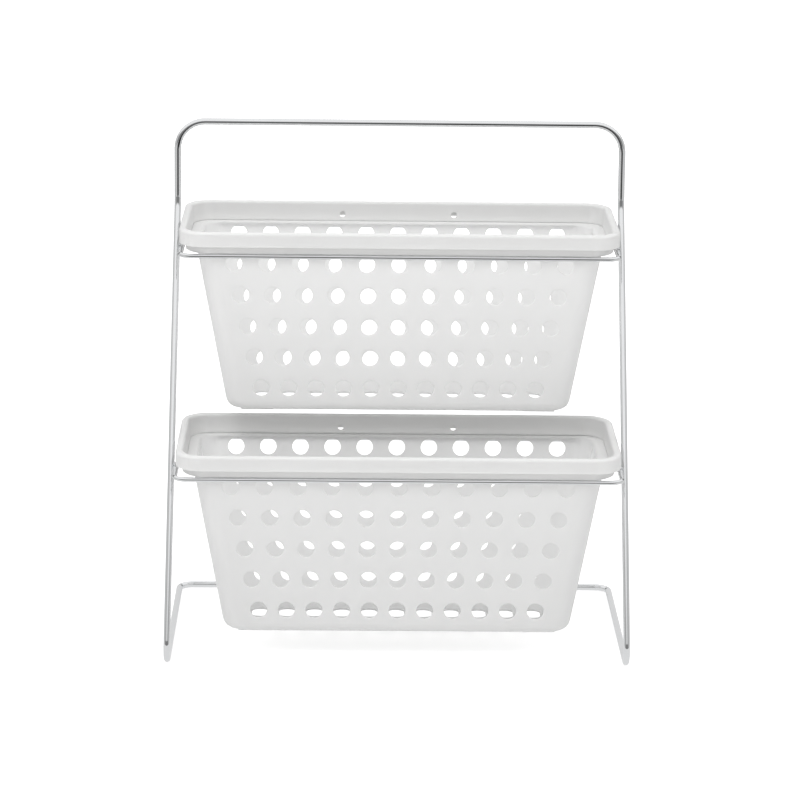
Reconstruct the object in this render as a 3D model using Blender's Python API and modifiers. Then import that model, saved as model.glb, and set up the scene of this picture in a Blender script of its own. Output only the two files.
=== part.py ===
"""Two-tier countertop organizer: a chromed wire stand that carries two perforated plastic baskets.

The stand is one bent wire. It runs along the counter as a U, turns up at two feet, leans back as
two legs, turns upright at the shoulders and closes over the top as a carrying handle. A lighter
wire ring is welded between the legs at each tier, and a basket hangs in each ring by the ledge
under its collar. Both baskets come from one mould and lift out.

Metres, +Z up, +Y to the back. The origin lies on the counter, in the middle of the stand.
"""

import math

import bmesh
import bpy
from mathutils import Matrix, Vector

# Stand
OVERALL_WIDTH = 0.400
OVERALL_DEPTH = 0.252
OVERALL_HEIGHT = 0.451
FRAME_WIRE = 0.0058
LEG_LEAN = math.radians(22.5)
LEG_TAPER = 0.0036  # how far each leg leans in from its foot to its shoulder
HANDLE_RISE = 0.073  # from the shoulders, where the legs turn upright, to the top
FOOT_RADIUS = 0.014
BASE_CORNER_RADIUS = 0.013
SHOULDER_RADIUS = 0.030
HANDLE_CORNER_RADIUS = 0.024

# Rings
RING_WIRE = 0.0040
RING_CORNER_RADIUS = 0.010
RING_BELOW_SHOULDER = 0.036
RING_BEHIND_LEG = 0.0245  # a ring's middle lies this far behind the leg that it is welded to
WELD_GAP = 0.0003

# Basket mould: heights are from the seat, the underside of the ledge that rests on the ring
WALL = 0.0018
FLOOR_DEPTH = 0.116  # front to back, where the long walls would meet the floor's underside
END_DRAFT = 0.183  # how far an end wall leans out, over its height
LONG_DRAFT = 0.12
BODY_CORNER_RADIUS = 0.020
FLOOR_FILLET = 0.012
LONG_LEDGE = 0.0034  # width of the ledge on the long sides
END_LEDGE = 0.0095
COLLAR_HEIGHT = 0.0192  # from the seat to the top of the rim
COLLAR_DRAFT = 0.06
COLLAR_CORNER_RADIUS = 0.022
LONG_RIM = 0.0046  # how far the rim stands out from the foot of the collar on the long sides
END_RIM = 0.0057
RIM_CHAMFER = 0.0007
RIM_CORNER_RADIUS = 0.024
SKIRT_HEIGHT = 0.0120

# Perforations
HOLE_DIAMETER = 0.0145
HOLE_ROWS = 5
HOLE_COLUMNS = 11
HOLE_BRIDGE = 0.0050  # least plastic between two holes of an end wall
TOP_ROW_DROP = 0.0093  # from the seat down to the middle of the top row
BOTTOM_ROW_RISE = 0.0211  # from the floor's underside up to the middle of the bottom row
COLUMN_MARGIN = 0.0304  # from the end walls' tops to the outer columns, at the seat
COLUMN_DRAFT = 0.21  # how far the outer columns lean out, over their height
END_COLUMN_MARGIN = 0.0290
FLOOR_SLOT_LENGTH = 0.026  # front to back; a slot is as wide as a hole
HANGING_HOLE_DIAMETER = 0.0052
HANGING_HOLE_SPACING = 0.100
HANGING_HOLE_DROP = 0.0115  # from the top of the rim

# Feet moulded under the basket's floor
PAD_LENGTH = 0.028
PAD_WIDTH = 0.0040
PAD_HEIGHT = 0.0013
PAD_END_MARGIN = 0.0259  # from the end of the floor to the middle of a foot
PAD_OVER_FILLET = 0.0015

# Fits
SEAT_GAP = 0.0003
RING_TO_BODY = 0.0005
RIM_TO_LEG = 0.0005
COUNTER_CLEARANCE = 0.0216
TIER_CLEARANCE = 0.0158
CUT_OVERRUN = 0.004

# How finely round things are divided
WIRE_BEVEL_RESOLUTION = 2
BEND_STEPS = 5
RING_BEND_STEPS = 4
OUTLINE_STEPS = 3
FILLET_STEPS = 3
WALL_HOLE_SIDES = 8
SMALL_HOLE_SIDES = 6
SLOT_SIDES = 10  # twice an odd number, so that no corner lies where a slot is stretched

# Sizes of the stand that follow from those above
FRAME_RADIUS = FRAME_WIRE / 2
RING_RADIUS = RING_WIRE / 2
FOOT_X = OVERALL_WIDTH / 2 - FRAME_RADIUS
HANDLE_X = FOOT_X - LEG_TAPER
REAR_Y = OVERALL_DEPTH / 2 - FRAME_RADIUS
HANDLE_TOP = OVERALL_HEIGHT - FRAME_RADIUS
SHOULDER_HEIGHT = OVERALL_HEIGHT - HANDLE_RISE
FOOT_TURN = math.pi / 2 + LEG_LEAN
FOOT_VERTEX_Y = FRAME_RADIUS + FOOT_RADIUS * (1 - math.tan(FOOT_TURN / 2)) - OVERALL_DEPTH / 2

# The baskets take up the height between the counter and the upper ring.
SEAT_OVER_RING = RING_RADIUS + SEAT_GAP
UPPER_RING_HEIGHT = SHOULDER_HEIGHT - RING_BELOW_SHOULDER
UPPER_SEAT_HEIGHT = UPPER_RING_HEIGHT + SEAT_OVER_RING
ROOM_FOR_BODIES = UPPER_SEAT_HEIGHT - COUNTER_CLEARANCE - COLLAR_HEIGHT - TIER_CLEARANCE
BODY_DEPTH = ROOM_FOR_BODIES / 2 - PAD_HEIGHT
TIER_RISE = BODY_DEPTH + PAD_HEIGHT + TIER_CLEARANCE + COLLAR_HEIGHT
LOWER_RING_HEIGHT = UPPER_RING_HEIGHT - TIER_RISE


def leg_x(height):
    """Distance of a leg's centre line from the middle plane."""
    share = (height - FRAME_RADIUS) / (SHOULDER_HEIGHT - FRAME_RADIUS)
    return FOOT_X - LEG_TAPER * share


def leg_y(height):
    """Depth of a leg's centre line at a height."""
    return FOOT_VERTEX_Y + (height - FRAME_RADIUS) * math.tan(LEG_LEAN)


# The upper tier is the narrower place between the legs, so it sets the width of the rim.
RIM_HALF_WIDTH = leg_x(UPPER_SEAT_HEIGHT + COLLAR_HEIGHT) - FRAME_RADIUS - RIM_TO_LEG
COLLAR_HALF_WIDTH = RIM_HALF_WIDTH - END_RIM
BODY_HALF_WIDTH = COLLAR_HALF_WIDTH - END_LEDGE
FLOOR_HALF_WIDTH = BODY_HALF_WIDTH - END_DRAFT * BODY_DEPTH
FLOOR_HALF_DEPTH = FLOOR_DEPTH / 2
BODY_HALF_DEPTH = FLOOR_HALF_DEPTH + LONG_DRAFT * BODY_DEPTH
RING_HALF_DEPTH = BODY_HALF_DEPTH + RING_TO_BODY + RING_RADIUS
COLLAR_HALF_DEPTH = BODY_HALF_DEPTH + LONG_LEDGE
RIM_HALF_DEPTH = COLLAR_HALF_DEPTH + LONG_RIM


def ring_half_width(ring_height):
    return leg_x(ring_height) - FRAME_RADIUS - WELD_GAP - RING_RADIUS


def tier_centre(ring_height):
    """Middle of a tier, at the height of its ring's centre line."""
    return Vector((0, leg_y(ring_height) + RING_BEHIND_LEG, ring_height))


def clear_scene():
    for obj in list(bpy.data.objects):
        bpy.data.objects.remove(obj, do_unlink=True)


def new_collection(name):
    collection = bpy.data.collections.new(name)
    bpy.context.scene.collection.children.link(collection)
    return collection


def new_material(name, colour, metallic, roughness):
    material = bpy.data.materials.new(name)
    material.use_nodes = True
    shader = material.node_tree.nodes["Principled BSDF"]
    shader.inputs["Base Color"].default_value = (*colour, 1.0)
    shader.inputs["Metallic"].default_value = metallic
    shader.inputs["Roughness"].default_value = roughness
    material.diffuse_color = (*colour, 1.0)
    return material


def chrome(part_name):
    return new_material(part_name + "_chrome", (0.80, 0.81, 0.82), 1.0, 0.10)


def pale_plastic(part_name):
    return new_material(part_name + "_plastic", (0.76, 0.76, 0.76), 0.0, 0.35)


def rounded_corner(before, corner, after, radius, steps):
    """Points of the arc that rounds a corner between its two neighbours."""
    to_before = (before - corner).normalized()
    to_after = (after - corner).normalized()
    half_angle = to_before.angle(to_after) / 2
    centre = corner + (to_before + to_after).normalized() * radius / math.sin(half_angle)
    start = corner + to_before * radius / math.tan(half_angle) - centre
    axis = to_after.cross(to_before)
    turn = math.pi - 2 * half_angle
    return [centre + Matrix.Rotation(turn * i / steps, 3, axis) @ start for i in range(steps + 1)]


def rounded_rectangle(half_x, half_y, radius, height, steps):
    """Points round a rectangle with round corners, counter-clockwise seen from above."""
    corners = [
        Vector((half_x, -half_y, height)),
        Vector((half_x, half_y, height)),
        Vector((-half_x, half_y, height)),
        Vector((-half_x, -half_y, height)),
    ]
    points = []
    for i, corner in enumerate(corners):
        after = corners[(i + 1) % len(corners)]
        points += rounded_corner(corners[i - 1], corner, after, radius, steps)
    return points


def closed_wire(name, points, diameter, collection):
    """A wire that closes on itself. Its facets lie a diameter apart, and where it runs level one
    of them faces straight down."""
    sides = 4 + 2 * WIRE_BEVEL_RESOLUTION
    half_side = math.pi / sides
    curve = bpy.data.curves.new(name, "CURVE")
    curve.dimensions = "3D"
    curve.bevel_depth = diameter / 2 / math.cos(half_side)
    curve.bevel_resolution = WIRE_BEVEL_RESOLUTION
    spline = curve.splines.new("POLY")
    spline.points.add(len(points) - 1)
    for spline_point, point in zip(spline.points, points):
        spline_point.co = (*point, 1.0)
        spline_point.tilt = half_side
    spline.use_cyclic_u = True
    obj = bpy.data.objects.new(name, curve)
    obj.data.materials.append(chrome(name))
    collection.objects.link(obj)
    return obj


def build_stand(collection):
    """The one wire of the stand, whose ends are welded together in the middle of the back."""
    left_side = [
        (Vector((-FOOT_X, REAR_Y, FRAME_RADIUS)), BASE_CORNER_RADIUS),
        (Vector((-FOOT_X, FOOT_VERTEX_Y, FRAME_RADIUS)), FOOT_RADIUS),
        (Vector((-HANDLE_X, leg_y(SHOULDER_HEIGHT), SHOULDER_HEIGHT)), SHOULDER_RADIUS),
        (Vector((-HANDLE_X, leg_y(SHOULDER_HEIGHT), HANDLE_TOP)), HANDLE_CORNER_RADIUS),
    ]
    mirror = Matrix.Diagonal((-1, 1, 1))
    right_side = [(mirror @ corner, radius) for corner, radius in reversed(left_side)]
    bends = left_side + right_side
    points = []
    for i, (corner, radius) in enumerate(bends):
        before = bends[i - 1][0]
        after = bends[(i + 1) % len(bends)][0]
        points += rounded_corner(before, corner, after, radius, BEND_STEPS)
    return closed_wire("stand_frame", points, FRAME_WIRE, collection)


def build_ring(name, ring_height, collection):
    """A ring between the legs, that a basket hangs in."""
    half_width = ring_half_width(ring_height)
    points = rounded_rectangle(half_width, RING_HALF_DEPTH, RING_CORNER_RADIUS, 0, RING_BEND_STEPS)
    ring = closed_wire(name, points, RING_WIRE, collection)
    ring.location = tier_centre(ring_height)
    return ring


def basket_sections():
    """Outlines of the basket's outer face, from the floor's edge up to the ledge, up the collar,
    across the rim and down to the skirt's edge, each as half width, half depth, radius, height."""
    sections = []
    for i in range(FILLET_STEPS + 1):
        angle = math.pi / 2 * i / FILLET_STEPS
        inset = FLOOR_FILLET * (1 - math.sin(angle))
        rise = FLOOR_FILLET * (1 - math.cos(angle))
        half_x = FLOOR_HALF_WIDTH + END_DRAFT * rise - inset
        half_y = FLOOR_HALF_DEPTH + LONG_DRAFT * rise - inset
        sections.append((half_x, half_y, BODY_CORNER_RADIUS - inset, rise - BODY_DEPTH))
    sections.append((BODY_HALF_WIDTH, BODY_HALF_DEPTH, BODY_CORNER_RADIUS, 0))
    sections.append((COLLAR_HALF_WIDTH, COLLAR_HALF_DEPTH, COLLAR_CORNER_RADIUS, 0))
    under_rim = COLLAR_HEIGHT - WALL
    lean = COLLAR_DRAFT * under_rim
    collar_top = (COLLAR_HALF_WIDTH + lean, COLLAR_HALF_DEPTH + lean, COLLAR_CORNER_RADIUS, under_rim)
    sections.append(collar_top)
    skirt_x = RIM_HALF_WIDTH - WALL
    skirt_y = RIM_HALF_DEPTH - WALL
    skirt_radius = RIM_CORNER_RADIUS - WALL
    chamfer_x = skirt_x - RIM_CHAMFER
    chamfer_y = skirt_y - RIM_CHAMFER
    sections.append((chamfer_x, chamfer_y, skirt_radius, under_rim))
    sections.append((skirt_x, skirt_y, skirt_radius, under_rim - RIM_CHAMFER))
    sections.append((skirt_x, skirt_y, skirt_radius, COLLAR_HEIGHT - SKIRT_HEIGHT))
    return sections


def loft(name, outlines):
    """An open shell through the outlines, closed by a flat face over the first."""
    mesh = bmesh.new()
    loops = [[mesh.verts.new(point) for point in outline] for outline in outlines]
    mesh.faces.new(reversed(loops[0]))
    for lower, upper in zip(loops, loops[1:]):
        for i in range(len(lower)):
            j = (i + 1) % len(lower)
            mesh.faces.new((lower[i], lower[j], upper[j], upper[i]))
    data = bpy.data.meshes.new(name)
    mesh.to_mesh(data)
    mesh.free()
    return data


def prisms(name, places, axis, diameter, length, sides):
    """Round cutters of one size along an axis, as equal-sided prisms of the round hole's area."""
    fill = math.sqrt(2 * math.pi / (sides * math.sin(2 * math.pi / sides)))
    radius = fill * diameter / 2
    turn = Vector((0, 0, 1)).rotation_difference(axis).to_matrix().to_4x4()
    mesh = bmesh.new()
    for place in places:
        bmesh.ops.create_cone(
            mesh,
            cap_ends=True,
            segments=sides,
            radius1=radius,
            radius2=radius,
            depth=length,
            matrix=Matrix.Translation(place) @ turn,
        )
    data = bpy.data.meshes.new(name)
    mesh.to_mesh(data)
    mesh.free()
    return data


def spread(count, pitch):
    """Places along a line, a pitch apart and centred on 0."""
    return [(i - (count - 1) / 2) * pitch for i in range(count)]


def spread_within(count, half_length, margin):
    """Places along a line, of which the first and last lie a margin inside its ends."""
    return spread(count, 2 * (half_length - margin) / (count - 1))


def fitting_count(half_length, margin):
    """How many holes fit along a line, with a bridge between each two."""
    return max(2, 1 + int(2 * (half_length - margin) / (HOLE_DIAMETER + HOLE_BRIDGE)))


def hole_rows():
    """Heights of the rows of holes, from the top row down."""
    pitch = (BODY_DEPTH - TOP_ROW_DROP - BOTTOM_ROW_RISE) / (HOLE_ROWS - 1)
    return [-TOP_ROW_DROP - row * pitch for row in range(HOLE_ROWS)]


def column_places(height):
    """Where the columns of the long walls stand at a height. They draw together downwards."""
    return spread_within(HOLE_COLUMNS, BODY_HALF_WIDTH + COLUMN_DRAFT * height, COLUMN_MARGIN)


def end_column_places(height):
    """Where the columns of the end walls stand at a height. The bottom row sets their number."""
    count = fitting_count(FLOOR_HALF_DEPTH + LONG_DRAFT * BOTTOM_ROW_RISE, END_COLUMN_MARGIN)
    return spread_within(count, BODY_HALF_DEPTH + LONG_DRAFT * height, END_COLUMN_MARGIN)


def long_wall_cutters():
    places = [Vector((x, 0, z)) for z in hole_rows() for x in column_places(z)]
    length = 2 * (BODY_HALF_DEPTH + CUT_OVERRUN)
    return prisms("long_wall_holes", places, Vector((0, 1, 0)), HOLE_DIAMETER, length, WALL_HOLE_SIDES)


def end_wall_cutters():
    places = [Vector((0, y, z)) for z in hole_rows() for y in end_column_places(z)]
    length = 2 * (BODY_HALF_WIDTH + CUT_OVERRUN)
    return prisms("end_wall_holes", places, Vector((1, 0, 0)), HOLE_DIAMETER, length, SMALL_HOLE_SIDES)


def floor_cutters():
    """A row of slots from front to back, one under each column of the long walls."""
    columns = column_places(BOTTOM_ROW_RISE - BODY_DEPTH)
    places = [Vector((x, 0, WALL / 2 - BODY_DEPTH)) for x in columns]
    height = WALL + 2 * CUT_OVERRUN
    slots = prisms("floor_slots", places, Vector((0, 0, 1)), HOLE_DIAMETER, height, SLOT_SIDES)
    stretch = (FLOOR_SLOT_LENGTH - HOLE_DIAMETER) / 2
    for corner in slots.vertices:
        corner.co.y += math.copysign(stretch, corner.co.y)
    return slots


def hanging_hole_cutters():
    """Two small holes through the back of the collar, which stop short of the skirt."""
    height = COLLAR_HEIGHT - HANGING_HOLE_DROP
    middle = COLLAR_HALF_DEPTH - WALL / 2
    places = [Vector((x, middle, height)) for x in spread(2, HANGING_HOLE_SPACING)]
    inside_skirt = RIM_HALF_DEPTH - WALL
    length = COLLAR_HALF_DEPTH + inside_skirt - 2 * middle
    axis = Vector((0, 1, 0))
    return prisms("hanging_holes", places, axis, HANGING_HOLE_DIAMETER, length, SMALL_HOLE_SIDES)


def pads():
    """The four low feet under the floor, near its long edges."""
    mesh = bmesh.new()
    height = PAD_HEIGHT + WALL / 2
    size = Matrix.Diagonal((PAD_LENGTH, PAD_WIDTH, height, 1))
    edge = FLOOR_HALF_DEPTH - FLOOR_FILLET + PAD_OVER_FILLET
    for x in spread_within(2, FLOOR_HALF_WIDTH, PAD_END_MARGIN):
        for y in spread_within(2, edge, PAD_WIDTH / 2):
            place = Vector((x, y, height / 2 - PAD_HEIGHT - BODY_DEPTH))
            bmesh.ops.create_cube(mesh, size=1, matrix=Matrix.Translation(place) @ size)
    data = bpy.data.meshes.new("floor_pads")
    mesh.to_mesh(data)
    mesh.free()
    return data


def basket_meshes():
    """The meshes that both baskets share: the shell, and what is joined to it and cut from it."""
    outlines = [rounded_rectangle(*section, OUTLINE_STEPS) for section in basket_sections()]
    shell = loft("basket_shell", outlines)
    changes = [
        ("UNION", pads()),
        ("DIFFERENCE", long_wall_cutters()),
        ("DIFFERENCE", end_wall_cutters()),
        ("DIFFERENCE", floor_cutters()),
        ("DIFFERENCE", hanging_hole_cutters()),
    ]
    return shell, changes


def build_basket(name, ring_height, meshes, collection, cutters):
    """A basket whose origin lies in the middle of its seat, on the line that it lifts along."""
    shell, changes = meshes
    basket = bpy.data.objects.new(name, shell.copy())
    basket.data.name = name
    basket.data.materials.append(pale_plastic(name))
    basket.location = tier_centre(ring_height) + Vector((0, 0, SEAT_OVER_RING))
    collection.objects.link(basket)
    thickness = basket.modifiers.new("wall", "SOLIDIFY")
    thickness.thickness = WALL
    thickness.offset = -1
    thickness.use_even_offset = True
    for operation, mesh in changes:
        tool = bpy.data.objects.new(name + "_" + mesh.name, mesh)
        tool.parent = basket
        tool.hide_render = True
        tool.display_type = "WIRE"
        cutters.objects.link(tool)
        change = basket.modifiers.new(mesh.name, "BOOLEAN")
        change.operation = operation
        change.solver = "EXACT"
        change.object = tool
    return basket


def main():
    clear_scene()
    organizer = new_collection("two_tier_countertop_organizer")
    cutters = new_collection("cutters")
    build_stand(organizer)
    build_ring("lower_ring", LOWER_RING_HEIGHT, organizer)
    build_ring("upper_ring", UPPER_RING_HEIGHT, organizer)
    meshes = basket_meshes()
    build_basket("lower_basket", LOWER_RING_HEIGHT, meshes, organizer, cutters)
    build_basket("upper_basket", UPPER_RING_HEIGHT, meshes, organizer, cutters)
    bpy.context.view_layer.update()


main()
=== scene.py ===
"""Dresses the two-tier countertop organizer and sets it in a plain studio.

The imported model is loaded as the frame. Round chromed wires take the place of the faceted ones,
and two moulded baskets with round perforations take the place of the plain ones.
"""

import math

import bpy
from bpy.props import FloatProperty, FloatVectorProperty, IntProperty, PointerProperty
from mathutils import Euler, Matrix, Vector


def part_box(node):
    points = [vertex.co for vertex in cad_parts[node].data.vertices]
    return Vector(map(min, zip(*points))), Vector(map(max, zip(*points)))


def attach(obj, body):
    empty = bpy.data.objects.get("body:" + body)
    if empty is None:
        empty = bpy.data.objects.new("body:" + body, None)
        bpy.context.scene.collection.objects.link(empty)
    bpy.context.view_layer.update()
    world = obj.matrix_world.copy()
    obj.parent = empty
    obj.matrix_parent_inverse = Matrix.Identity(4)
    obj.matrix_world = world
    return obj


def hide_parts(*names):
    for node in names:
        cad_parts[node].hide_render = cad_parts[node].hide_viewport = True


bl_info = {
    "name": "Two-Tier Countertop Organizer",
    "version": (1, 0, 0),
    "blender": (4, 5, 0),
    "location": "View3D > Sidebar > Organizer",
    "description": "Models a wire stand with two perforated baskets and its studio",
    "category": "Add Mesh",
}

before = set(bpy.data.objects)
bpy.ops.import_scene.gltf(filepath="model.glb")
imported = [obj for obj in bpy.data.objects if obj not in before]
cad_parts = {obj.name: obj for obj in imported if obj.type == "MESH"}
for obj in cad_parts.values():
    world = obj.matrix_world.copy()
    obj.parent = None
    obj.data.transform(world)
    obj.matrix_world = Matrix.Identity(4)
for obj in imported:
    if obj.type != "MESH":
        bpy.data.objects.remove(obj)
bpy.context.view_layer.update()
stand_low, stand_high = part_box("stand_frame")
basket_low, basket_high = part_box("upper_basket")

TIERS = ("lower", "upper")
ALONG = Vector((1, 0, 0))
ACROSS = Vector((0, 1, 0))
UPRIGHT = Vector((0, 0, 1))

# Half width and half height of a weld bead, as shares of the ring wire's radius
BEAD_WIDTH_SHARE = 0.62
BEAD_HEIGHT_SHARE = 0.95
BEAD_SEGMENTS = 20
BEAD_RINGS = 12

# How far inside the floor's edge the sheet starts, as a share of the floor's rounding
SHEET_INSET_SHARE = 1.2
# Past this share of its half width and half depth, a place on the sheet is a corner
CORNER_SHARE = 0.999

# Edges that turn more than this are shaded sharp
SMOOTH_ANGLE = math.radians(40)
# Edges of the baskets that turn more than this get a soft edge
SOFT_EDGE_ANGLE = math.radians(50)

# How far the camera sees
CAMERA_REACH = 100

# Painted reflection: the shades the floor glows with for metal, in place of its lit colour
FLOOR_REFLECTION_NEAR = 0.78
FLOOR_REFLECTION_BESIDE = 0.60
FLOOR_REFLECTION_FRONT_LEFT = 0.10
FLOOR_REFLECTION_FRONT_RIGHT = 0.01
FLOOR_REFLECTION_BEHIND = 0.15

# Where the floor's zones begin and where they are full, from the middle of the object
FLOOR_BESIDE_EDGE = (0.35, 0.9)
FLOOR_FRONT_EDGE = (-0.3, -0.75)
FLOOR_BEHIND_EDGE = (0.8, 1.3)
# The zones in front and behind fade out sideways, and the one in front darkens to the right
FLOOR_FADE = (0.75, 1.6)
FLOOR_LEFT_TO_RIGHT = (-0.15, 0.15)

# How bright metal sees the room
ROOM_CEILING = 0.92
ROOM_SIDES = 0.58
ROOM_FRONT = 0.22
ROOM_BACK = 0.74
ROOM_BESIDE_BACK = 0.10

# Where the room's zones begin and where they are full, as parts of the direction
ROOM_CEILING_EDGE = (0.28, 0.46)
ROOM_FRONT_EDGE = (-0.35, -0.75)
ROOM_BACK_EDGE = (0.2, 0.75)
ROOM_BESIDE_BACK_EDGE = (0.68, 0.78)
# Towards straight back, the zone beside it fades out again
ROOM_BESIDE_BACK_FADE = (0.92, 0.95)


class OrganizerStandSettings(bpy.types.PropertyGroup):
    """Sizes and finish of the bent wire and the two rings."""

    wire_diameter: FloatProperty(
        name="Frame wire",
        description="Diameter of the wire that makes the base, the legs and the handle",
        default=0.0058,
        unit="LENGTH",
    )
    leg_lean: FloatProperty(
        name="Leg lean",
        description="How far the legs lean back from upright",
        default=math.radians(22.5),
        unit="ROTATION",
    )
    leg_taper: FloatProperty(
        name="Leg taper",
        description="How far each leg leans in from its foot to its shoulder",
        default=0.0036,
        unit="LENGTH",
    )
    handle_rise: FloatProperty(
        name="Handle rise",
        description="Height from the shoulders, where the legs turn upright, to the top",
        default=0.073,
        unit="LENGTH",
    )
    foot_radius: FloatProperty(
        name="Foot bend", description="Bend radius at the feet", default=0.014, unit="LENGTH"
    )
    base_corner_radius: FloatProperty(
        name="Base bend",
        description="Bend radius at the back corners of the base",
        default=0.013,
        unit="LENGTH",
    )
    shoulder_radius: FloatProperty(
        name="Shoulder bend",
        description="Bend radius where the legs turn upright",
        default=0.030,
        unit="LENGTH",
    )
    handle_corner_radius: FloatProperty(
        name="Handle bend",
        description="Bend radius at the top corners of the handle",
        default=0.024,
        unit="LENGTH",
    )
    ring_corner_radius: FloatProperty(
        name="Ring bend",
        description="Bend radius at the corners of a ring",
        default=0.010,
        unit="LENGTH",
    )
    weld_length: FloatProperty(
        name="Weld length",
        description="Length of the bead that joins a ring to a leg",
        default=0.0066,
        unit="LENGTH",
    )
    sides: IntProperty(
        name="Wire sides", description="Faces round a wire", default=24, min=8, max=64
    )
    bend_steps: IntProperty(
        name="Bend steps", description="Faces along a bend of a wire", default=12, min=4, max=48
    )
    colour: FloatVectorProperty(
        name="Chrome",
        description="Colour of the plating",
        subtype="COLOR",
        default=(0.86, 0.87, 0.88),
    )
    roughness: FloatProperty(
        name="Chrome roughness",
        description="Roughness of the plating",
        default=0.07,
        subtype="FACTOR",
    )


class OrganizerBasketSettings(bpy.types.PropertyGroup):
    """Sizes and finish of the basket mould. Heights are from the seat, under its ledge."""

    wall: FloatProperty(
        name="Wall", description="Thickness of the plastic", default=0.0018, unit="LENGTH"
    )
    seat_gap: FloatProperty(
        name="Seat gap",
        description="Gap between the ledge and its ring",
        default=0.0003,
        unit="LENGTH",
    )
    collar_height: FloatProperty(
        name="Collar height",
        description="Height from the seat to the top of the rim",
        default=0.0192,
        unit="LENGTH",
    )
    skirt_height: FloatProperty(
        name="Skirt height",
        description="Height of the skirt that turns down from the rim",
        default=0.0130,
        unit="LENGTH",
    )
    pad_height: FloatProperty(
        name="Foot height",
        description="Height of the low feet under the floor",
        default=0.0013,
        unit="LENGTH",
    )
    pad_length: FloatProperty(
        name="Foot length",
        description="Length of a foot, along the basket",
        default=0.028,
        unit="LENGTH",
    )
    pad_width: FloatProperty(
        name="Foot width",
        description="Width of a foot, front to back",
        default=0.0040,
        unit="LENGTH",
    )
    pad_end_margin: FloatProperty(
        name="Foot from the end",
        description="From the end of the floor to the middle of a foot",
        default=0.0259,
        unit="LENGTH",
    )
    pad_side_margin: FloatProperty(
        name="Foot from the side",
        description="From the long edge of the floor to the middle of a foot",
        default=0.0125,
        unit="LENGTH",
    )
    long_rim: FloatProperty(
        name="Rim, long sides",
        description="How far the rim stands out from the collar on the long sides",
        default=0.0046,
        unit="LENGTH",
    )
    end_rim: FloatProperty(
        name="Rim, ends",
        description="How far the rim stands out from the collar at the ends",
        default=0.0057,
        unit="LENGTH",
    )
    long_ledge: FloatProperty(
        name="Ledge, long sides",
        description="Width of the ledge on the long sides",
        default=0.0034,
        unit="LENGTH",
    )
    end_ledge: FloatProperty(
        name="Ledge, ends",
        description="Width of the ledge at the ends",
        default=0.0095,
        unit="LENGTH",
    )
    end_draft: FloatProperty(
        name="End draft", description="How far an end wall leans out over its height", default=0.183
    )
    column_draft: FloatProperty(
        name="Column draft",
        description="How far the outer columns lean out over their height",
        default=0.21,
    )
    long_draft: FloatProperty(
        name="Long draft", description="How far a long wall leans out over its height", default=0.12
    )
    collar_draft: FloatProperty(
        name="Collar draft",
        description="How far the collar leans out over its height",
        default=0.06,
    )
    corner_radius: FloatProperty(
        name="Floor corner",
        description="Radius of the flat floor's corners, seen from above",
        default=0.015,
        unit="LENGTH",
    )
    corner_steps: IntProperty(
        name="Corner steps", description="Faces round a corner of the floor", default=12, min=4
    )
    floor_setback: FloatProperty(
        name="Floor rounding",
        description="How far from their meeting the floor and the walls start to round",
        default=0.0090,
        unit="LENGTH",
    )
    ledge_setback: FloatProperty(
        name="Ledge rounding",
        description="How far from its edges the ledge starts to round",
        default=0.0013,
        unit="LENGTH",
    )
    rim_setback: FloatProperty(
        name="Rim rounding",
        description="How far from its edges the underside of the rim starts to round",
        default=0.0008,
        unit="LENGTH",
    )
    round_steps: IntProperty(
        name="Rounding steps", description="Faces across a rounded edge", default=5, min=2, max=16
    )
    edge_softness: FloatProperty(
        name="Edge softness",
        description="Width of the soft edge round the holes and under the skirt",
        default=0.0003,
        unit="LENGTH",
    )
    hole_diameter: FloatProperty(
        name="Hole", description="Diameter of the perforations", default=0.0145, unit="LENGTH"
    )
    hole_rows: IntProperty(name="Rows", description="Rows of holes in the walls", default=5, min=2)
    hole_columns: IntProperty(
        name="Columns", description="Columns of holes in a long wall", default=11, min=2
    )
    end_columns: IntProperty(
        name="End columns", description="Columns of holes in an end wall", default=4, min=2
    )
    slot_length: FloatProperty(
        name="Floor slot",
        description="Length of a slot in the floor, front to back",
        default=0.026,
        unit="LENGTH",
    )
    top_row_drop: FloatProperty(
        name="Top row",
        description="From the seat down to the top row",
        default=0.0093,
        unit="LENGTH",
    )
    bottom_row_rise: FloatProperty(
        name="Bottom row",
        description="From the floor up to the bottom row",
        default=0.0211,
        unit="LENGTH",
    )
    column_margin: FloatProperty(
        name="Column margin",
        description="From the end walls to the middles of the outer columns",
        default=0.0304,
        unit="LENGTH",
    )
    end_column_margin: FloatProperty(
        name="End column margin",
        description="From the long walls to the middles of the outer columns of an end wall",
        default=0.0290,
        unit="LENGTH",
    )
    hanging_hole_diameter: FloatProperty(
        name="Hanging hole",
        description="Diameter of the small holes",
        default=0.0052,
        unit="LENGTH",
    )
    hanging_hole_spacing: FloatProperty(
        name="Hanging hole spacing",
        description="Between the small holes",
        default=0.100,
        unit="LENGTH",
    )
    hanging_hole_drop: FloatProperty(
        name="Hanging hole drop",
        description="From the top of the rim down to the small holes",
        default=0.0115,
        unit="LENGTH",
    )
    hole_sides: IntProperty(
        name="Hole sides",
        description="Faces round a hole, twice an odd number",
        default=30,
        min=6,
        max=62,
    )
    colour: FloatVectorProperty(
        name="Plastic",
        description="Colour of the plastic",
        subtype="COLOR",
        default=(0.775, 0.775, 0.770),
    )
    roughness: FloatProperty(
        name="Plastic roughness",
        description="Roughness of the plastic",
        default=0.38,
        subtype="FACTOR",
    )
    wall_light_reach: FloatProperty(
        name="Light in the walls",
        description="How far light travels inside the walls",
        default=0.009,
        unit="LENGTH",
    )
    rim_light_reach: FloatProperty(
        name="Light in the rim",
        description="How far light travels inside the collar, the rim and the skirt",
        default=0.003,
        unit="LENGTH",
    )


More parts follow.
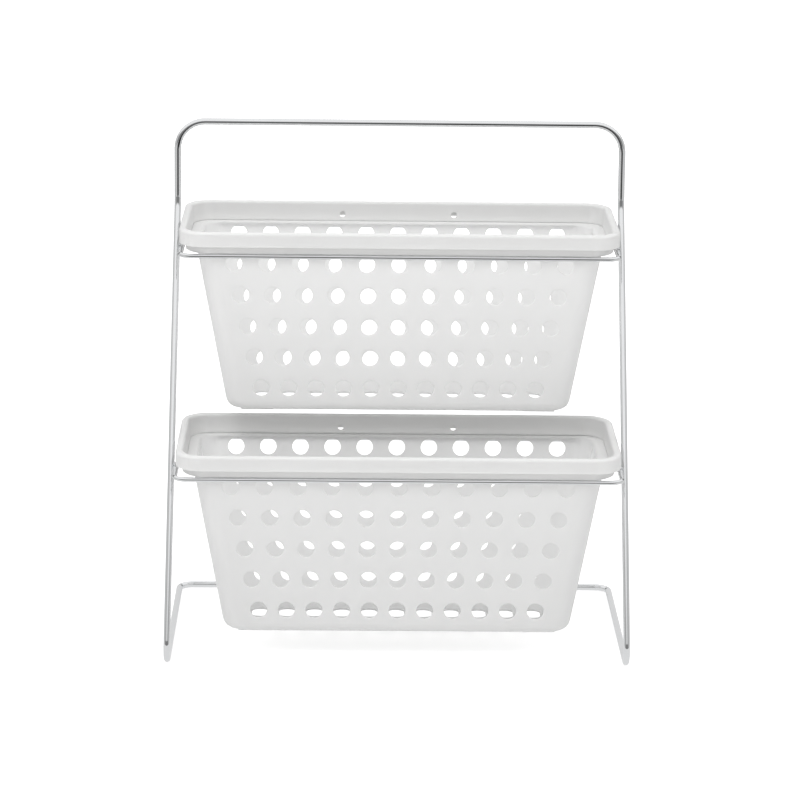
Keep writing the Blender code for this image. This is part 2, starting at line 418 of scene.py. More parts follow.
class OrganizerStageSettings(bpy.types.PropertyGroup):
    """The camera, the floor and the light of the studio."""

    camera_place: FloatVectorProperty(
        name="Camera",
        description="Where the camera stands",
        subtype="TRANSLATION",
        default=(-0.0417, -3.1180, 0.9253),
    )
    camera_pitch: FloatProperty(
        name="Pitch",
        description="How far the camera looks down",
        default=math.radians(12.971),
        unit="ROTATION",
    )
    camera_yaw: FloatProperty(
        name="Yaw",
        description="How far the camera turns to its right",
        default=math.radians(0.802),
        unit="ROTATION",
    )
    camera_roll: FloatProperty(
        name="Roll",
        description="How far the camera leans to its left",
        default=math.radians(0.650),
        unit="ROTATION",
    )
    lens: FloatProperty(name="Lens", description="Focal length in millimetres", default=164.16)
    sensor: FloatProperty(name="Sensor", description="Sensor width in millimetres", default=36.0)
    floor_size: FloatProperty(
        name="Floor", description="Width and depth of the floor", default=12.0, unit="LENGTH"
    )
    floor_colour: FloatVectorProperty(
        name="Floor colour",
        description="Colour of the floor",
        subtype="COLOR",
        default=(0.90, 0.90, 0.90),
    )
    floor_lift: FloatProperty(
        name="Floor lift",
        description="Light that the floor adds for the camera, towards white",
        default=0.55,
    )
    room_light: FloatProperty(
        name="Room light", description="Strength of the even light of the room", default=0.88
    )
    key_place: FloatVectorProperty(
        name="Softbox",
        description="Where the softbox hangs",
        subtype="TRANSLATION",
        default=(-0.45, -1.5, 2.3),
    )
    key_size: FloatProperty(
        name="Softbox size",
        description="Width and height of the softbox",
        default=1.0,
        unit="LENGTH",
    )
    key_power: FloatProperty(
        name="Softbox power", description="Power of the softbox in watts", default=18
    )


def select_only(obj):
    bpy.ops.object.select_all(action="DESELECT")
    obj.select_set(True)
    bpy.context.view_layer.objects.active = obj


def start_editing(select_mode="EDGE"):
    """Starts editing with the whole mesh selected."""
    bpy.ops.object.mode_set(mode="EDIT")
    bpy.ops.mesh.select_mode(type=select_mode)
    bpy.ops.mesh.select_all(action="SELECT")


def stop_editing():
    bpy.ops.object.mode_set(mode="OBJECT")


def edit_vertices(obj, wanted):
    """Starts editing with just those vertices selected whose place is wanted."""
    start_editing("VERT")
    bpy.ops.mesh.select_all(action="DESELECT")
    stop_editing()
    for vertex in obj.data.vertices:
        vertex.select = wanted(vertex.co)
    bpy.ops.object.mode_set(mode="EDIT")


def apply_modifier(obj, kind, **settings):
    """Adds a modifier with its settings and applies it."""
    select_only(obj)
    bpy.ops.object.modifier_add(type=kind)
    modifier = obj.modifiers[-1]
    for setting, value in settings.items():
        setattr(modifier, setting, value)
    bpy.ops.object.modifier_apply(modifier=modifier.name)


def boolean(obj, tool, operation):
    """Joins the tool to obj or cuts it away, and removes the tool."""
    apply_modifier(obj, "BOOLEAN", operation=operation, solver="EXACT", object=tool)
    bpy.data.objects.remove(tool, do_unlink=True)


def move_origin_to_world(obj):
    select_only(obj)
    bpy.ops.object.transform_apply(location=True, rotation=True, scale=True)


def finish_piece(piece, node, body, slot, *materials):
    """The piece takes the place of a CAD node, rides on its body and gets its finish."""
    piece.data.materials.clear()
    for material in materials:
        piece.data.materials.append(material)
    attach(piece, body)
    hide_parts(node)


def leg_point(height):
    """Middle of the left leg's wire at a height."""
    sizes = bpy.context.scene.organizer_stand
    radius = sizes.wire_diameter / 2
    shoulder = stand_high.z - sizes.handle_rise
    foot_x = stand_high.x - radius
    share = (height - radius) / (shoulder - radius)
    x = foot_x - sizes.leg_taper * share
    y = foot_vertex_y() + (height - radius) * math.tan(sizes.leg_lean)
    return Vector((-x, y, height))


def foot_vertex_y():
    """Where the base wire and the leg would meet, if the foot weren't bent round."""
    sizes = bpy.context.scene.organizer_stand
    turn = math.pi / 2 + sizes.leg_lean
    bend_y = stand_low.y + sizes.wire_diameter / 2 + sizes.foot_radius
    return bend_y - sizes.foot_radius * math.tan(turn / 2)


def extrude_ring(move):
    """Extrudes the selected ring of edges by a move."""
    bpy.ops.mesh.extrude_edges_move(TRANSFORM_OT_translate={"value": move})


def follow_route(route, radii, steps):
    """Draws the selected ring of edges along a route: straight runs are extruded and each
    bend is spun about its own axis."""
    place = route[0]
    for before, corner, after, radius in zip(route, route[1:], route[2:], radii):
        incoming = (corner - before).normalized()
        outgoing = (after - corner).normalized()
        turn = incoming.angle(outgoing)
        setback = radius * math.tan(turn / 2)
        bend_start = corner - incoming * setback
        axis = incoming.cross(outgoing).normalized()
        centre = bend_start + axis.cross(incoming) * radius
        extrude_ring(bend_start - place)
        bpy.ops.mesh.spin(steps=steps, angle=-turn, center=centre, axis=axis)
        place = corner + outgoing * setback
    extrude_ring(route[-1] - place)


def bent_wire(name, route, radii, diameter):
    """A round wire that closes on itself. The route is its left half, from the middle plane
    round to the middle plane again."""
    sizes = bpy.context.scene.organizer_stand
    merge_distance = diameter / 100
    bpy.ops.object.select_all(action="DESELECT")
    bpy.ops.mesh.primitive_circle_add(
        vertices=sizes.sides,
        radius=diameter / 2,
        location=route[0],
        rotation=(0, math.pi / 2, 0),
    )
    wire = bpy.context.object
    wire.name = name
    wire.data.name = name
    start_editing()
    follow_route(route, radii, sizes.bend_steps)
    stop_editing()
    move_origin_to_world(wire)
    apply_modifier(wire, "MIRROR", use_axis=(True, False, False), merge_threshold=merge_distance)
    start_editing()
    bpy.ops.mesh.remove_doubles(threshold=merge_distance)
    bpy.ops.mesh.normals_make_consistent(inside=False)
    stop_editing()
    bpy.ops.object.shade_smooth()
    return wire


def weld_bead(place, radii):
    """A small bead, as a tool for a union."""
    bpy.ops.object.select_all(action="DESELECT")
    bpy.ops.mesh.primitive_uv_sphere_add(
        segments=BEAD_SEGMENTS, ring_count=BEAD_RINGS, radius=1, location=place
    )
    bead = bpy.context.object
    bead.scale = radii
    move_origin_to_world(bead)
    return bead


class ORGANIZER_OT_bend_stand(bpy.types.Operator):
    """Bends the stand from one wire: base, feet, legs, shoulders and handle"""

    bl_idname = "organizer.bend_stand"
    bl_label = "Bend the Stand"

    def execute(self, context):
        sizes = context.scene.organizer_stand
        radius = sizes.wire_diameter / 2
        shoulder = leg_point(stand_high.z - sizes.handle_rise)
        foot_x = leg_point(radius).x
        back_y = stand_high.y - radius
        top_z = stand_high.z - radius
        route = [
            Vector((0, back_y, radius)),
            Vector((foot_x, back_y, radius)),
            Vector((foot_x, foot_vertex_y(), radius)),
            shoulder,
            Vector((shoulder.x, shoulder.y, top_z)),
            Vector((0, shoulder.y, top_z)),
        ]
        radii = [
            sizes.base_corner_radius,
            sizes.foot_radius,
            sizes.shoulder_radius,
            sizes.handle_corner_radius,
        ]
        wire = bent_wire("stand_wire", route, radii, sizes.wire_diameter)
        finish_piece(wire, "stand_frame", "stand", "chromed_wire", chrome_material())
        return {"FINISHED"}


class ORGANIZER_OT_bend_rings(bpy.types.Operator):
    """Bends the ring of each tier and beads its welds to the legs"""

    bl_idname = "organizer.bend_rings"
    bl_label = "Bend the Rings"

    def execute(self, context):
        for tier in TIERS:
            self.bend_ring(tier, context.scene.organizer_stand)
        return {"FINISHED"}

    def bend_ring(self, tier, sizes):
        low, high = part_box(tier + "_ring")
        diameter = high.z - low.z
        radius = diameter / 2
        centre = (low + high) / 2
        half = (high - low) / 2 - Vector((radius, radius, 0))
        route = [
            centre + Vector((0, half.y, 0)),
            centre + Vector((-half.x, half.y, 0)),
            centre + Vector((-half.x, -half.y, 0)),
            centre + Vector((0, -half.y, 0)),
        ]
        wire = bent_wire(tier + "_ring_wire", route, [sizes.ring_corner_radius] * 2, diameter)
        leg = leg_point(centre.z)
        weld_x = (leg.x + sizes.wire_diameter / 2 + low.x) / 2
        bead_radii = (
            radius * BEAD_WIDTH_SHARE,
            sizes.weld_length / 2,
            radius * BEAD_HEIGHT_SHARE,
        )
        for side in (-1, 1):
            bead = weld_bead(Vector((side * abs(weld_x), leg.y, centre.z)), bead_radii)
            boolean(wire, bead, "UNION")
        select_only(wire)
        bpy.ops.object.shade_smooth_by_angle(angle=SMOOTH_ANGLE)
        finish_piece(wire, tier + "_ring", "stand", "chromed_wire", chrome_material())


class BasketShape:
    """The mould's sizes at each level, worked out from the CAD basket's box."""

    def __init__(self, sizes):
        self.sizes = sizes
        self.rim_x = basket_high.x
        self.rim_y = (basket_high.y - basket_low.y) / 2
        self.seat_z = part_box("upper_ring")[1].z + sizes.seat_gap
        self.collar_x = self.rim_x - sizes.end_rim
        self.collar_y = self.rim_y - sizes.long_rim
        self.body_x = self.collar_x - sizes.end_ledge
        self.body_y = self.collar_y - sizes.long_ledge
        self.depth = self.seat_z - basket_low.z - sizes.pad_height
        self.floor_x = self.body_x - sizes.end_draft * self.depth
        self.floor_y = self.body_y - sizes.long_draft * self.depth

    def rows(self):
        """Heights of the rows of holes, from the top row down."""
        sizes = self.sizes
        pitch = (self.depth - sizes.top_row_drop - sizes.bottom_row_rise) / (sizes.hole_rows - 1)
        return [-sizes.top_row_drop - row * pitch for row in range(sizes.hole_rows)]

    def between_rows(self):
        """Heights halfway between the rows, from the lowest up."""
        rows = self.rows()
        return [(above + below) / 2 for above, below in zip(rows, rows[1:])][::-1]

    def body_level(self, height):
        """A plain level of the drafted walls."""
        half_width = self.body_x + self.sizes.end_draft * height
        half_depth = self.body_y + self.sizes.long_draft * height
        return (half_width, half_depth, height, 0)

    def columns(self, height):
        """Places of the holes of one row, along a long wall."""
        half = self.body_x + self.sizes.column_draft * height
        return spread_within(self.sizes.hole_columns, half, self.sizes.column_margin)

    def end_columns(self, height):
        """Places of the holes of one row, along an end wall."""
        half = self.body_y + self.sizes.long_draft * height
        return spread_within(self.sizes.end_columns, half, self.sizes.end_column_margin)


def spread_within(count, half_length, margin):
    """Places along a line, of which the first and last lie a margin inside its ends."""
    pitch = 2 * (half_length - margin) / (count - 1)
    return [(i - (count - 1) / 2) * pitch for i in range(count)]


def rounded_levels(levels, steps):
    """The levels of the mould with each one rounded off by its setback. A level is its half
    width, half depth, height and setback."""
    result = []
    places = [Vector(level[:3]) for level in levels]
    for before, here, after, level in zip(places, places[1:], places[2:], levels[1:]):
        if not level[3]:
            result.append(here)
            continue
        arrive = (before - here) / max(map(abs, before - here)) * level[3]
        leave = (after - here) / max(map(abs, after - here)) * level[3]
        for step in range(steps + 1):
            share = step / steps
            result.append(here + arrive * (1 - share) ** 2 + leave * share**2)
    return [places[0]] + result + [places[-1]]


def mould_levels(shape, sizes):
    """Levels of the moulding's underside, from the floor to the skirt's edge."""
    under_rim = sizes.collar_height - sizes.wall
    lean = sizes.collar_draft * under_rim
    skirt_x = shape.rim_x - sizes.wall
    skirt_y = shape.rim_y - sizes.wall
    inset = SHEET_INSET_SHARE * sizes.floor_setback
    levels = [
        (shape.floor_x - inset, shape.floor_y - inset, -shape.depth, 0),
        (shape.floor_x, shape.floor_y, -shape.depth, sizes.floor_setback),
        *[shape.body_level(height) for height in shape.between_rows()],
        (shape.body_x, shape.body_y, 0, sizes.ledge_setback),
        (shape.collar_x, shape.collar_y, 0, sizes.ledge_setback),
        (shape.collar_x + lean, shape.collar_y + lean, under_rim, sizes.rim_setback),
        (skirt_x, skirt_y, under_rim, sizes.rim_setback),
        (skirt_x, skirt_y, sizes.collar_height - sizes.skirt_height, 0),
    ]
    return rounded_levels(levels, sizes.round_steps)


def basket_sheet(shape, sizes):
    """The underside of the moulding as an open sheet, raised from the floor level by level."""
    levels = mould_levels(shape, sizes)
    floor = levels[0]
    corner = (CORNER_SHARE * floor.x, CORNER_SHARE * floor.y)
    bpy.ops.object.select_all(action="DESELECT")
    bpy.ops.mesh.primitive_grid_add(
        x_subdivisions=sizes.hole_columns + 1,
        y_subdivisions=sizes.end_columns,
        size=2,
        location=(0, 0, floor.z),
    )
    sheet = bpy.context.object
    start_editing("VERT")
    bpy.ops.transform.resize(value=(floor.x, floor.y, 1), center_override=(0, 0, 0))
    stop_editing()
    edit_vertices(sheet, lambda place: abs(place.x) > corner[0] and abs(place.y) > corner[1])
    bpy.ops.mesh.bevel(
        offset=sizes.corner_radius, segments=sizes.corner_steps, affect="VERTICES"
    )
    bpy.ops.mesh.select_mode(type="FACE")
    bpy.ops.mesh.select_all(action="SELECT")
    bpy.ops.mesh.region_to_loop()
    for old, new in zip(levels, levels[1:]):
        extrude_ring((0, 0, new.z - old.z))
        growth = (new.x / old.x, new.y / old.y, 1)
        bpy.ops.transform.resize(value=growth, center_override=(0, 0, 0))
    bpy.ops.mesh.select_all(action="SELECT")
    bpy.ops.mesh.normals_make_consistent(inside=False)
    stop_editing()
    floor_face = min(sheet.data.polygons, key=lambda face: face.center.z)
    if floor_face.normal.z > 0:
        start_editing("FACE")
        bpy.ops.mesh.flip_normals()
        stop_editing()
    move_origin_to_world(sheet)
    return sheet


def one_tool(add_primitive, places, **settings):
    """Adds a primitive at each place, all in one mesh, as a tool for a boolean."""
    bpy.ops.object.select_all(action="DESELECT")
    for place in places:
        add_primitive(location=place, **settings)
        if bpy.context.mode == "OBJECT":
            bpy.ops.object.mode_set(mode="EDIT")
    stop_editing()
    return bpy.context.object


def drill(places, axis, diameter, length, sides):
    """Round cutters along an axis, as one tool."""
    return one_tool(
        bpy.ops.mesh.primitive_cylinder_add,
        places,
        vertices=sides,
        radius=diameter / 2,
        depth=length,
        rotation=UPRIGHT.rotation_difference(axis).to_euler(),
    )


def stretch_slots(tool, amount):
    """Moves the back half of each cutter back and its front half forwards."""
    for side in (-1, 1):
        edit_vertices(tool, lambda place: side * place.y > 0)
        bpy.ops.transform.translate(value=(0, side * amount, 0))
        stop_editing()


def floor_pads(shape, sizes):
    """The four low feet under the floor, as one tool."""
    height = sizes.pad_height + sizes.wall / 2
    scale = (sizes.pad_length, sizes.pad_width, height)
    columns = spread_within(2, shape.floor_x, sizes.pad_end_margin)
    rows = spread_within(2, shape.floor_y, sizes.pad_side_margin)
    places = [(x, y, height / 2 - sizes.pad_height - shape.depth) for x in columns for y in rows]
    return one_tool(bpy.ops.mesh.primitive_cube_add, places, size=1, scale=scale)


def wall_cuts(shape, sizes, overrun):
    """What is drilled through the walls: the cutters' places, axis, diameter and length."""
    walls = [Vector((x, 0, z)) for z in shape.rows() for x in shape.columns(z)]
    ends = [Vector((0, y, z)) for z in shape.rows() for y in shape.end_columns(z)]
    hole_z = sizes.collar_height - sizes.hanging_hole_drop
    hole_y = shape.collar_y - sizes.wall / 2
    hole_xs = [side * sizes.hanging_hole_spacing / 2 for side in (-1, 1)]
    hanging = [Vector((x, hole_y, hole_z)) for x in hole_xs]
    hanging_length = 2 * (shape.rim_y - sizes.wall - hole_y) - sizes.wall
    return [
        (walls, ACROSS, sizes.hole_diameter, 2 * (shape.body_y + overrun)),
        (ends, ALONG, sizes.hole_diameter, 2 * (shape.body_x + overrun)),
        (hanging, ACROSS, sizes.hanging_hole_diameter, hanging_length),
    ]


def mould_basket():
    """One basket with its seat at the origin."""
    sizes = bpy.context.scene.organizer_basket
    shape = BasketShape(sizes)
    overrun = 4 * sizes.wall
    basket = basket_sheet(shape, sizes)
    apply_modifier(basket, "SOLIDIFY", thickness=sizes.wall, offset=-1, use_even_offset=True)
    boolean(basket, floor_pads(shape, sizes), "UNION")
    for places, axis, diameter, length in wall_cuts(shape, sizes, overrun):
        boolean(basket, drill(places, axis, diameter, length, sizes.hole_sides), "DIFFERENCE")
    slot_xs = shape.columns(sizes.bottom_row_rise - shape.depth)
    slot_places = [Vector((x, 0, -shape.depth)) for x in slot_xs]
    slots = drill(slot_places, UPRIGHT, sizes.hole_diameter, overrun, sizes.hole_sides)
    stretch_slots(slots, (sizes.slot_length - sizes.hole_diameter) / 2)
    boolean(basket, slots, "DIFFERENCE")
    apply_modifier(
        basket,
        "BEVEL",
        width=sizes.edge_softness,
        segments=2,
        limit_method="ANGLE",
        angle_limit=SOFT_EDGE_ANGLE,
        use_clamp_overlap=False,
    )
    select_only(basket)
    bpy.ops.object.shade_smooth_by_angle(angle=SMOOTH_ANGLE)
    apply_modifier(basket, "WEIGHTED_NORMAL", keep_sharp=True)
    return basket


class ORGANIZER_OT_mould_baskets(bpy.types.Operator):
    """Moulds one basket and hangs a copy of it in each ring"""

    bl_idname = "organizer.mould_baskets"
    bl_label = "Mould the Baskets"

    def execute(self, context):
        sizes = context.scene.organizer_basket
        moulding = mould_basket()
        for tier in TIERS:
            ring_low, ring_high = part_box(tier + "_ring")
            basket = bpy.data.objects.new(tier + "_basket_moulding", moulding.data.copy())
            basket.data.name = basket.name
            context.scene.collection.objects.link(basket)
            basket.location = (0, (ring_low.y + ring_high.y) / 2, ring_high.z + sizes.seat_gap)
            move_origin_to_world(basket)
            self.finish_basket(basket, tier + "_basket", ring_high.z, sizes)
        bpy.data.objects.remove(moulding, do_unlink=True)
        return {"FINISHED"}

    def finish_basket(self, basket, node, ring_top, sizes):
        """Below the ring one thin wall glows with the light behind it. The rim and its skirt are
        two layers, which hold the light back."""
        rim_plastic = plastic_material("pale_rim_plastic", sizes.rim_light_reach)
        wall_plastic = plastic_material("pale_wall_plastic", sizes.wall_light_reach)
        finish_piece(basket, node, node, "pale_plastic", rim_plastic, wall_plastic)
        for face in basket.data.polygons:
            face.material_index = 1 if face.center.z < ring_top else 0


def node_tree(owner):
    """The nodes and links of a material or a world."""
    owner.use_nodes = True
    return owner.node_tree.nodes, owner.node_tree.links


def surface_grain_group():
    """Shared surface effect: a slow drift and a fine grain, on a piece's own coordinates."""
    if "surface_grain" in bpy.data.node_groups:
        return bpy.data.node_groups["surface_grain"]
    group = bpy.data.node_groups.new("surface_grain", "ShaderNodeTree")
    group.interface.new_socket("Vector", in_out="INPUT", socket_type="NodeSocketVector")
    group.interface.new_socket("Drift Scale", in_out="INPUT", socket_type="NodeSocketFloat")
    group.interface.new_socket("Grain Scale", in_out="INPUT", socket_type="NodeSocketFloat")
    group.interface.new_socket("Drift", in_out="OUTPUT", socket_type="NodeSocketFloat")
    group.interface.new_socket("Grain", in_out="OUTPUT", socket_type="NodeSocketFloat")
    nodes, links = group.nodes, group.links
    entry = nodes.new("NodeGroupInput")
    result = nodes.new("NodeGroupOutput")
    for output, scale, detail in (("Drift", "Drift Scale", 3), ("Grain", "Grain Scale", 4)):
        noise = nodes.new("ShaderNodeTexNoise")
        noise.inputs["Detail"].default_value = detail
        links.new(entry.outputs["Vector"], noise.inputs["Vector"])
        links.new(entry.outputs[scale], noise.inputs["Scale"])
        links.new(noise.outputs["Fac"], result.inputs[output])
    return group


def grained_material(
    name,
    colour,
    colour_drift,
    roughness,
    roughness_drift,
    drift_scale,
    grain_scale,
    relief_strength,
    relief_depth,
):
    """A Principled material whose colour, roughness and relief vary with the shared grain."""
    material = bpy.data.materials.new(name)
    nodes, links = node_tree(material)
    shader = nodes["Principled BSDF"]
    place = nodes.new("ShaderNodeTexCoord")
    grain = nodes.new("ShaderNodeGroup")
    grain.node_tree = surface_grain_group()
    grain.inputs["Drift Scale"].default_value = drift_scale
    grain.inputs["Grain Scale"].default_value = grain_scale
    links.new(place.outputs["Object"], grain.inputs["Vector"])
    tint = nodes.new("ShaderNodeValToRGB")
    darker, lighter = tint.color_ramp.elements
    darker.position = 0.3
    darker.color = (*[c * (1 - colour_drift) for c in colour], 1)
    lighter.position = 0.7
    lighter.color = (*[min(c * (1 + colour_drift), 1) for c in colour], 1)
    links.new(grain.outputs["Drift"], tint.inputs["Fac"])
    links.new(tint.outputs["Color"], shader.inputs["Base Color"])
    polish = nodes.new("ShaderNodeMapRange")
    polish.inputs["To Min"].default_value = roughness - roughness_drift
    polish.inputs["To Max"].default_value = roughness + roughness_drift
    links.new(grain.outputs["Grain"], polish.inputs["Value"])
    links.new(polish.outputs["Result"], shader.inputs["Roughness"])
    relief = nodes.new("ShaderNodeBump")
    relief.inputs["Strength"].default_value = relief_strength
    relief.inputs["Distance"].default_value = relief_depth
    links.new(grain.outputs["Grain"], relief.inputs["Height"])
    links.new(relief.outputs["Normal"], shader.inputs["Normal"])
    return material, shader


def chrome_material():
    """Bright plating with a faint drift in its colour and polish."""
    if "bright_chrome" in bpy.data.materials:
        return bpy.data.materials["bright_chrome"]
    sizes = bpy.context.scene.organizer_stand
    material, shader = grained_material(
        "bright_chrome",
        sizes.colour,
        colour_drift=0.02,
        roughness=sizes.roughness,
        roughness_drift=0.02,
        drift_scale=30,
        grain_scale=900,
        relief_strength=0.04,
        relief_depth=0.0001,
    )
    shader.inputs["Metallic"].default_value = 1
    return material


def plastic_material(name, light_reach):
    """Pale moulded plastic that light enters and leaves again a little way off."""
    if name in bpy.data.materials:
        return bpy.data.materials[name]
    sizes = bpy.context.scene.organizer_basket
    material, shader = grained_material(
        name,
        sizes.colour,
        colour_drift=0.012,
        roughness=sizes.roughness,
        roughness_drift=0.06,
        drift_scale=14,
        grain_scale=1800,
        relief_strength=0.06,
        relief_depth=0.0001,
    )
    shader.inputs["Subsurface Weight"].default_value = 1
    shader.inputs["Subsurface Radius"].default_value = (1, 1, 1)
    shader.inputs["Subsurface Scale"].default_value = light_reach
    return material


def graded(nodes, links, source, start, finish, low=0, high=1):
    """A smooth step from low to high while the source goes from start to finish."""
    step = nodes.new("ShaderNodeMapRange")
    step.interpolation_type = "SMOOTHSTEP"
    step.inputs["From Min"].default_value = start
    step.inputs["From Max"].default_value = finish
    step.inputs["To Min"].default_value = low
    step.inputs["To Max"].default_value = high
    links.new(source, step.inputs["Value"])
    return step.outputs["Result"]


def blended(nodes, links, share, first, second):
    """First where the share is 0 and second where it is 1. Each is a number or a socket."""
    mix = nodes.new("ShaderNodeMix")
    links.new(share, mix.inputs["Factor"])
    for socket, value in ((mix.inputs["A"], first), (mix.inputs["B"], second)):
        if isinstance(value, (int, float)):
            socket.default_value = value
        else:
            links.new(value, socket)
    return mix.outputs["Result"]


def worked_out(nodes, links, operation, *sources):
    """What a Math node makes of one or two sockets."""
    result = nodes.new("ShaderNodeMath")
    result.operation = operation
    for source, socket in zip(sources, result.inputs):
        links.new(source, socket)
    return result.outputs["Value"]


def mixed_shader(nodes, links, share, first, second):
    """The first shader where the share is 0 and the second where it is 1."""
    mix = nodes.new("ShaderNodeMixShader")
    for source, socket in zip((share, first, second), mix.inputs):
        links.new(source, socket)
    return mix.outputs["Shader"]


def split_place(nodes, links, output):
    """The X, Y and Z of a place or a direction, as sockets."""
    place = nodes.new("ShaderNodeTexCoord")
    split = nodes.new("ShaderNodeSeparateXYZ")
    links.new(place.outputs[output], split.inputs["Vector"])
    return split.outputs


def studio_floor_material(colour, lift):
    """Matt and pale, and white to the camera apart from the shadow. For metal it glows with a
    painted reflection in place of its lit colour: pale near the object, a little darker to the
    sides, and dark out in front and behind."""
    material = bpy.data.materials.new("studio_floor")
    nodes, links = node_tree(material)
    shader = nodes["Principled BSDF"]
    shader.inputs["Base Color"].default_value = (*colour, 1)
    shader.inputs["Roughness"].default_value = 0.9
    shader.inputs["Specular IOR Level"].default_value = 0.1
    shader.inputs["Emission Color"].default_value = (1, 1, 1, 1)
    rays = nodes.new("ShaderNodeLightPath")
    added = graded(nodes, links, rays.outputs["Is Camera Ray"], 0, 1, high=lift)
    links.new(added, shader.inputs["Emission Strength"])
    place = split_place(nodes, links, "Object")
    sideways = worked_out(nodes, links, "ABSOLUTE", place["X"])
    beside = graded(nodes, links, sideways, *FLOOR_BESIDE_EDGE)
    within = graded(nodes, links, sideways, *FLOOR_FADE, low=1, high=0)
    front = graded(nodes, links, place["Y"], *FLOOR_FRONT_EDGE)
    front = worked_out(nodes, links, "MULTIPLY", front, within)
    behind = graded(nodes, links, place["Y"], *FLOOR_BEHIND_EDGE)
    behind = worked_out(nodes, links, "MULTIPLY", behind, within)
    front_shade = graded(
        nodes,
        links,
        place["X"],
        *FLOOR_LEFT_TO_RIGHT,
        low=FLOOR_REFLECTION_FRONT_LEFT,
        high=FLOOR_REFLECTION_FRONT_RIGHT,
    )
    # Painted reflection: the shade that metal sees on the floor, darker to the sides, in front and
    # behind
    shade = blended(nodes, links, beside, FLOOR_REFLECTION_NEAR, FLOOR_REFLECTION_BESIDE)
    shade = blended(nodes, links, front, shade, front_shade)
    shade = blended(nodes, links, behind, shade, FLOOR_REFLECTION_BEHIND)
    # The floor glows with this painted reflection for glossy rays only
    glow = nodes.new("ShaderNodeEmission")
    links.new(shade, glow.inputs["Color"])
    surface = mixed_shader(
        nodes,
        links,
        rays.outputs["Is Glossy Ray"],
        shader.outputs["BSDF"],
        glow.outputs["Emission"],
    )
    links.new(surface, nodes["Material Output"].inputs["Surface"])
    return material


def light_room(strength):
    """An even pale room, white to the camera. Metal sees its ceiling and back pale, its sides
    darker, and dark behind the photographer and on both sides of the back."""
    world = bpy.data.worlds.new("studio_room")
    bpy.context.scene.world = world
    nodes, links = node_tree(world)
    background = nodes["Background"]
    background.inputs["Color"].default_value = (1, 1, 1, 1)
    background.inputs["Strength"].default_value = strength
    white = nodes.new("ShaderNodeBackground")
    white.inputs["Color"].default_value = (1, 1, 1, 1)
    mirrored = nodes.new("ShaderNodeBackground")
    direction = split_place(nodes, links, "Generated")
    front = graded(nodes, links, direction["Y"], *ROOM_FRONT_EDGE)
    back = graded(nodes, links, direction["Y"], *ROOM_BACK_EDGE)
    beside_back = worked_out(
        nodes,
        links,
        "MULTIPLY",
        graded(nodes, links, direction["Y"], *ROOM_BESIDE_BACK_EDGE),
        graded(nodes, links, direction["Y"], *ROOM_BESIDE_BACK_FADE, low=1, high=0),
    )
    ceiling = graded(nodes, links, direction["Z"], *ROOM_CEILING_EDGE)
    shade = blended(nodes, links, front, ROOM_SIDES, ROOM_FRONT)
    shade = blended(nodes, links, back, shade, ROOM_BACK)
    shade = blended(nodes, links, beside_back, shade, ROOM_BESIDE_BACK)
    shade = blended(nodes, links, ceiling, shade, ROOM_CEILING)
    links.new(shade, mirrored.inputs["Color"])
    rays = nodes.new("ShaderNodeLightPath")
    seen = mixed_shader(
        nodes,
        links,
        rays.outputs["Is Glossy Ray"],
        background.outputs["Background"],
        mirrored.outputs["Background"],
    )
    seen = mixed_shader(
        nodes, links, rays.outputs["Is Camera Ray"], seen, white.outputs["Background"]
    )
    links.new(seen, nodes["World Output"].inputs["Surface"])


def add_softbox(name, place, target, size, power):
    """A square lamp that faces the target, and that neither the camera nor metal sees."""
    direction = Vector(target) - Vector(place)
    bpy.ops.object.light_add(
        type="AREA", location=place, rotation=direction.to_track_quat("-Z", "Y").to_euler()
    )
    lamp = bpy.context.object
    lamp.name = name
    lamp.data.shape = "SQUARE"
    lamp.data.size = size
    lamp.data.energy = power
    lamp.visible_camera = False
    lamp.visible_glossy = False


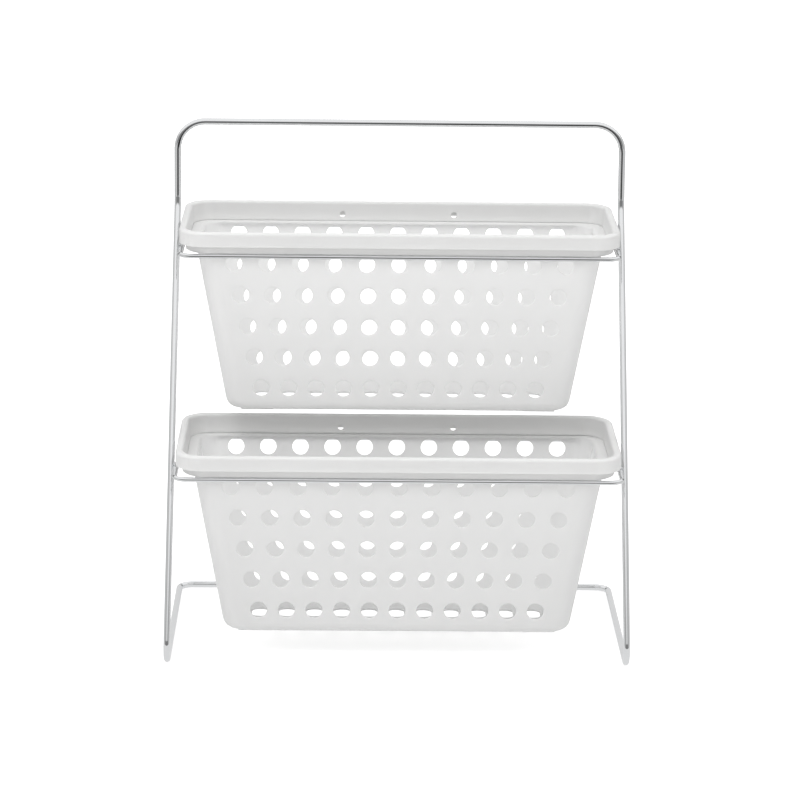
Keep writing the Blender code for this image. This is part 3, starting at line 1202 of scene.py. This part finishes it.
class ORGANIZER_OT_set_stage(bpy.types.Operator):
    """Puts down the floor, the lights and the camera"""

    bl_idname = "organizer.set_stage"
    bl_label = "Set the Stage"

    def execute(self, context):
        sizes = context.scene.organizer_stage
        bpy.ops.object.select_all(action="DESELECT")
        bpy.ops.mesh.primitive_plane_add(size=sizes.floor_size)
        floor = context.object
        floor.name = "studio_floor"
        floor_finish = studio_floor_material(sizes.floor_colour, sizes.floor_lift)
        floor.data.materials.append(floor_finish)
        light_room(sizes.room_light)
        middle = (0, 0, stand_high.z / 2)
        add_softbox("key_softbox", sizes.key_place, middle, sizes.key_size, sizes.key_power)
        turn = Euler((math.pi / 2 - sizes.camera_pitch, 0, -sizes.camera_yaw)).to_matrix()
        turn = turn @ Matrix.Rotation(sizes.camera_roll, 3, "Z")
        bpy.ops.object.camera_add(location=sizes.camera_place, rotation=turn.to_euler())
        camera = context.object
        camera.data.lens = sizes.lens
        camera.data.sensor_width = sizes.sensor
        camera.data.clip_end = CAMERA_REACH
        context.scene.camera = camera
        context.scene.view_settings.view_transform = "Standard"
        return {"FINISHED"}


class ORGANIZER_PT_sidebar(bpy.types.Panel):
    """Lists the organizer's steps and sizes"""

    bl_idname = "ORGANIZER_PT_sidebar"
    bl_label = "Two-Tier Organizer"
    bl_space_type = "VIEW_3D"
    bl_region_type = "UI"
    bl_category = "Organizer"

    def draw(self, context):
        layout = self.layout
        for step in STEPS:
            layout.operator(step.bl_idname)
        for name in SETTINGS:
            settings = getattr(context.scene, name)
            box = layout.box()
            for key in settings.__annotations__:
                box.prop(settings, key)


STEPS = (
    ORGANIZER_OT_bend_stand,
    ORGANIZER_OT_bend_rings,
    ORGANIZER_OT_mould_baskets,
    ORGANIZER_OT_set_stage,
)
SETTINGS = {
    "organizer_stand": OrganizerStandSettings,
    "organizer_basket": OrganizerBasketSettings,
    "organizer_stage": OrganizerStageSettings,
}


def register():
    for name, settings in SETTINGS.items():
        bpy.utils.register_class(settings)
        setattr(bpy.types.Scene, name, PointerProperty(type=settings))
    for step in STEPS:
        bpy.utils.register_class(step)
    bpy.utils.register_class(ORGANIZER_PT_sidebar)


def unregister():
    bpy.utils.unregister_class(ORGANIZER_PT_sidebar)
    for step in reversed(STEPS):
        bpy.utils.unregister_class(step)
    for name, settings in SETTINGS.items():
        delattr(bpy.types.Scene, name)
        bpy.utils.unregister_class(settings)


def main():
    register()
    bpy.ops.organizer.bend_stand()
    bpy.ops.organizer.bend_rings()
    bpy.ops.organizer.mould_baskets()
    bpy.ops.organizer.set_stage()


if __name__ == "__main__":
    main()
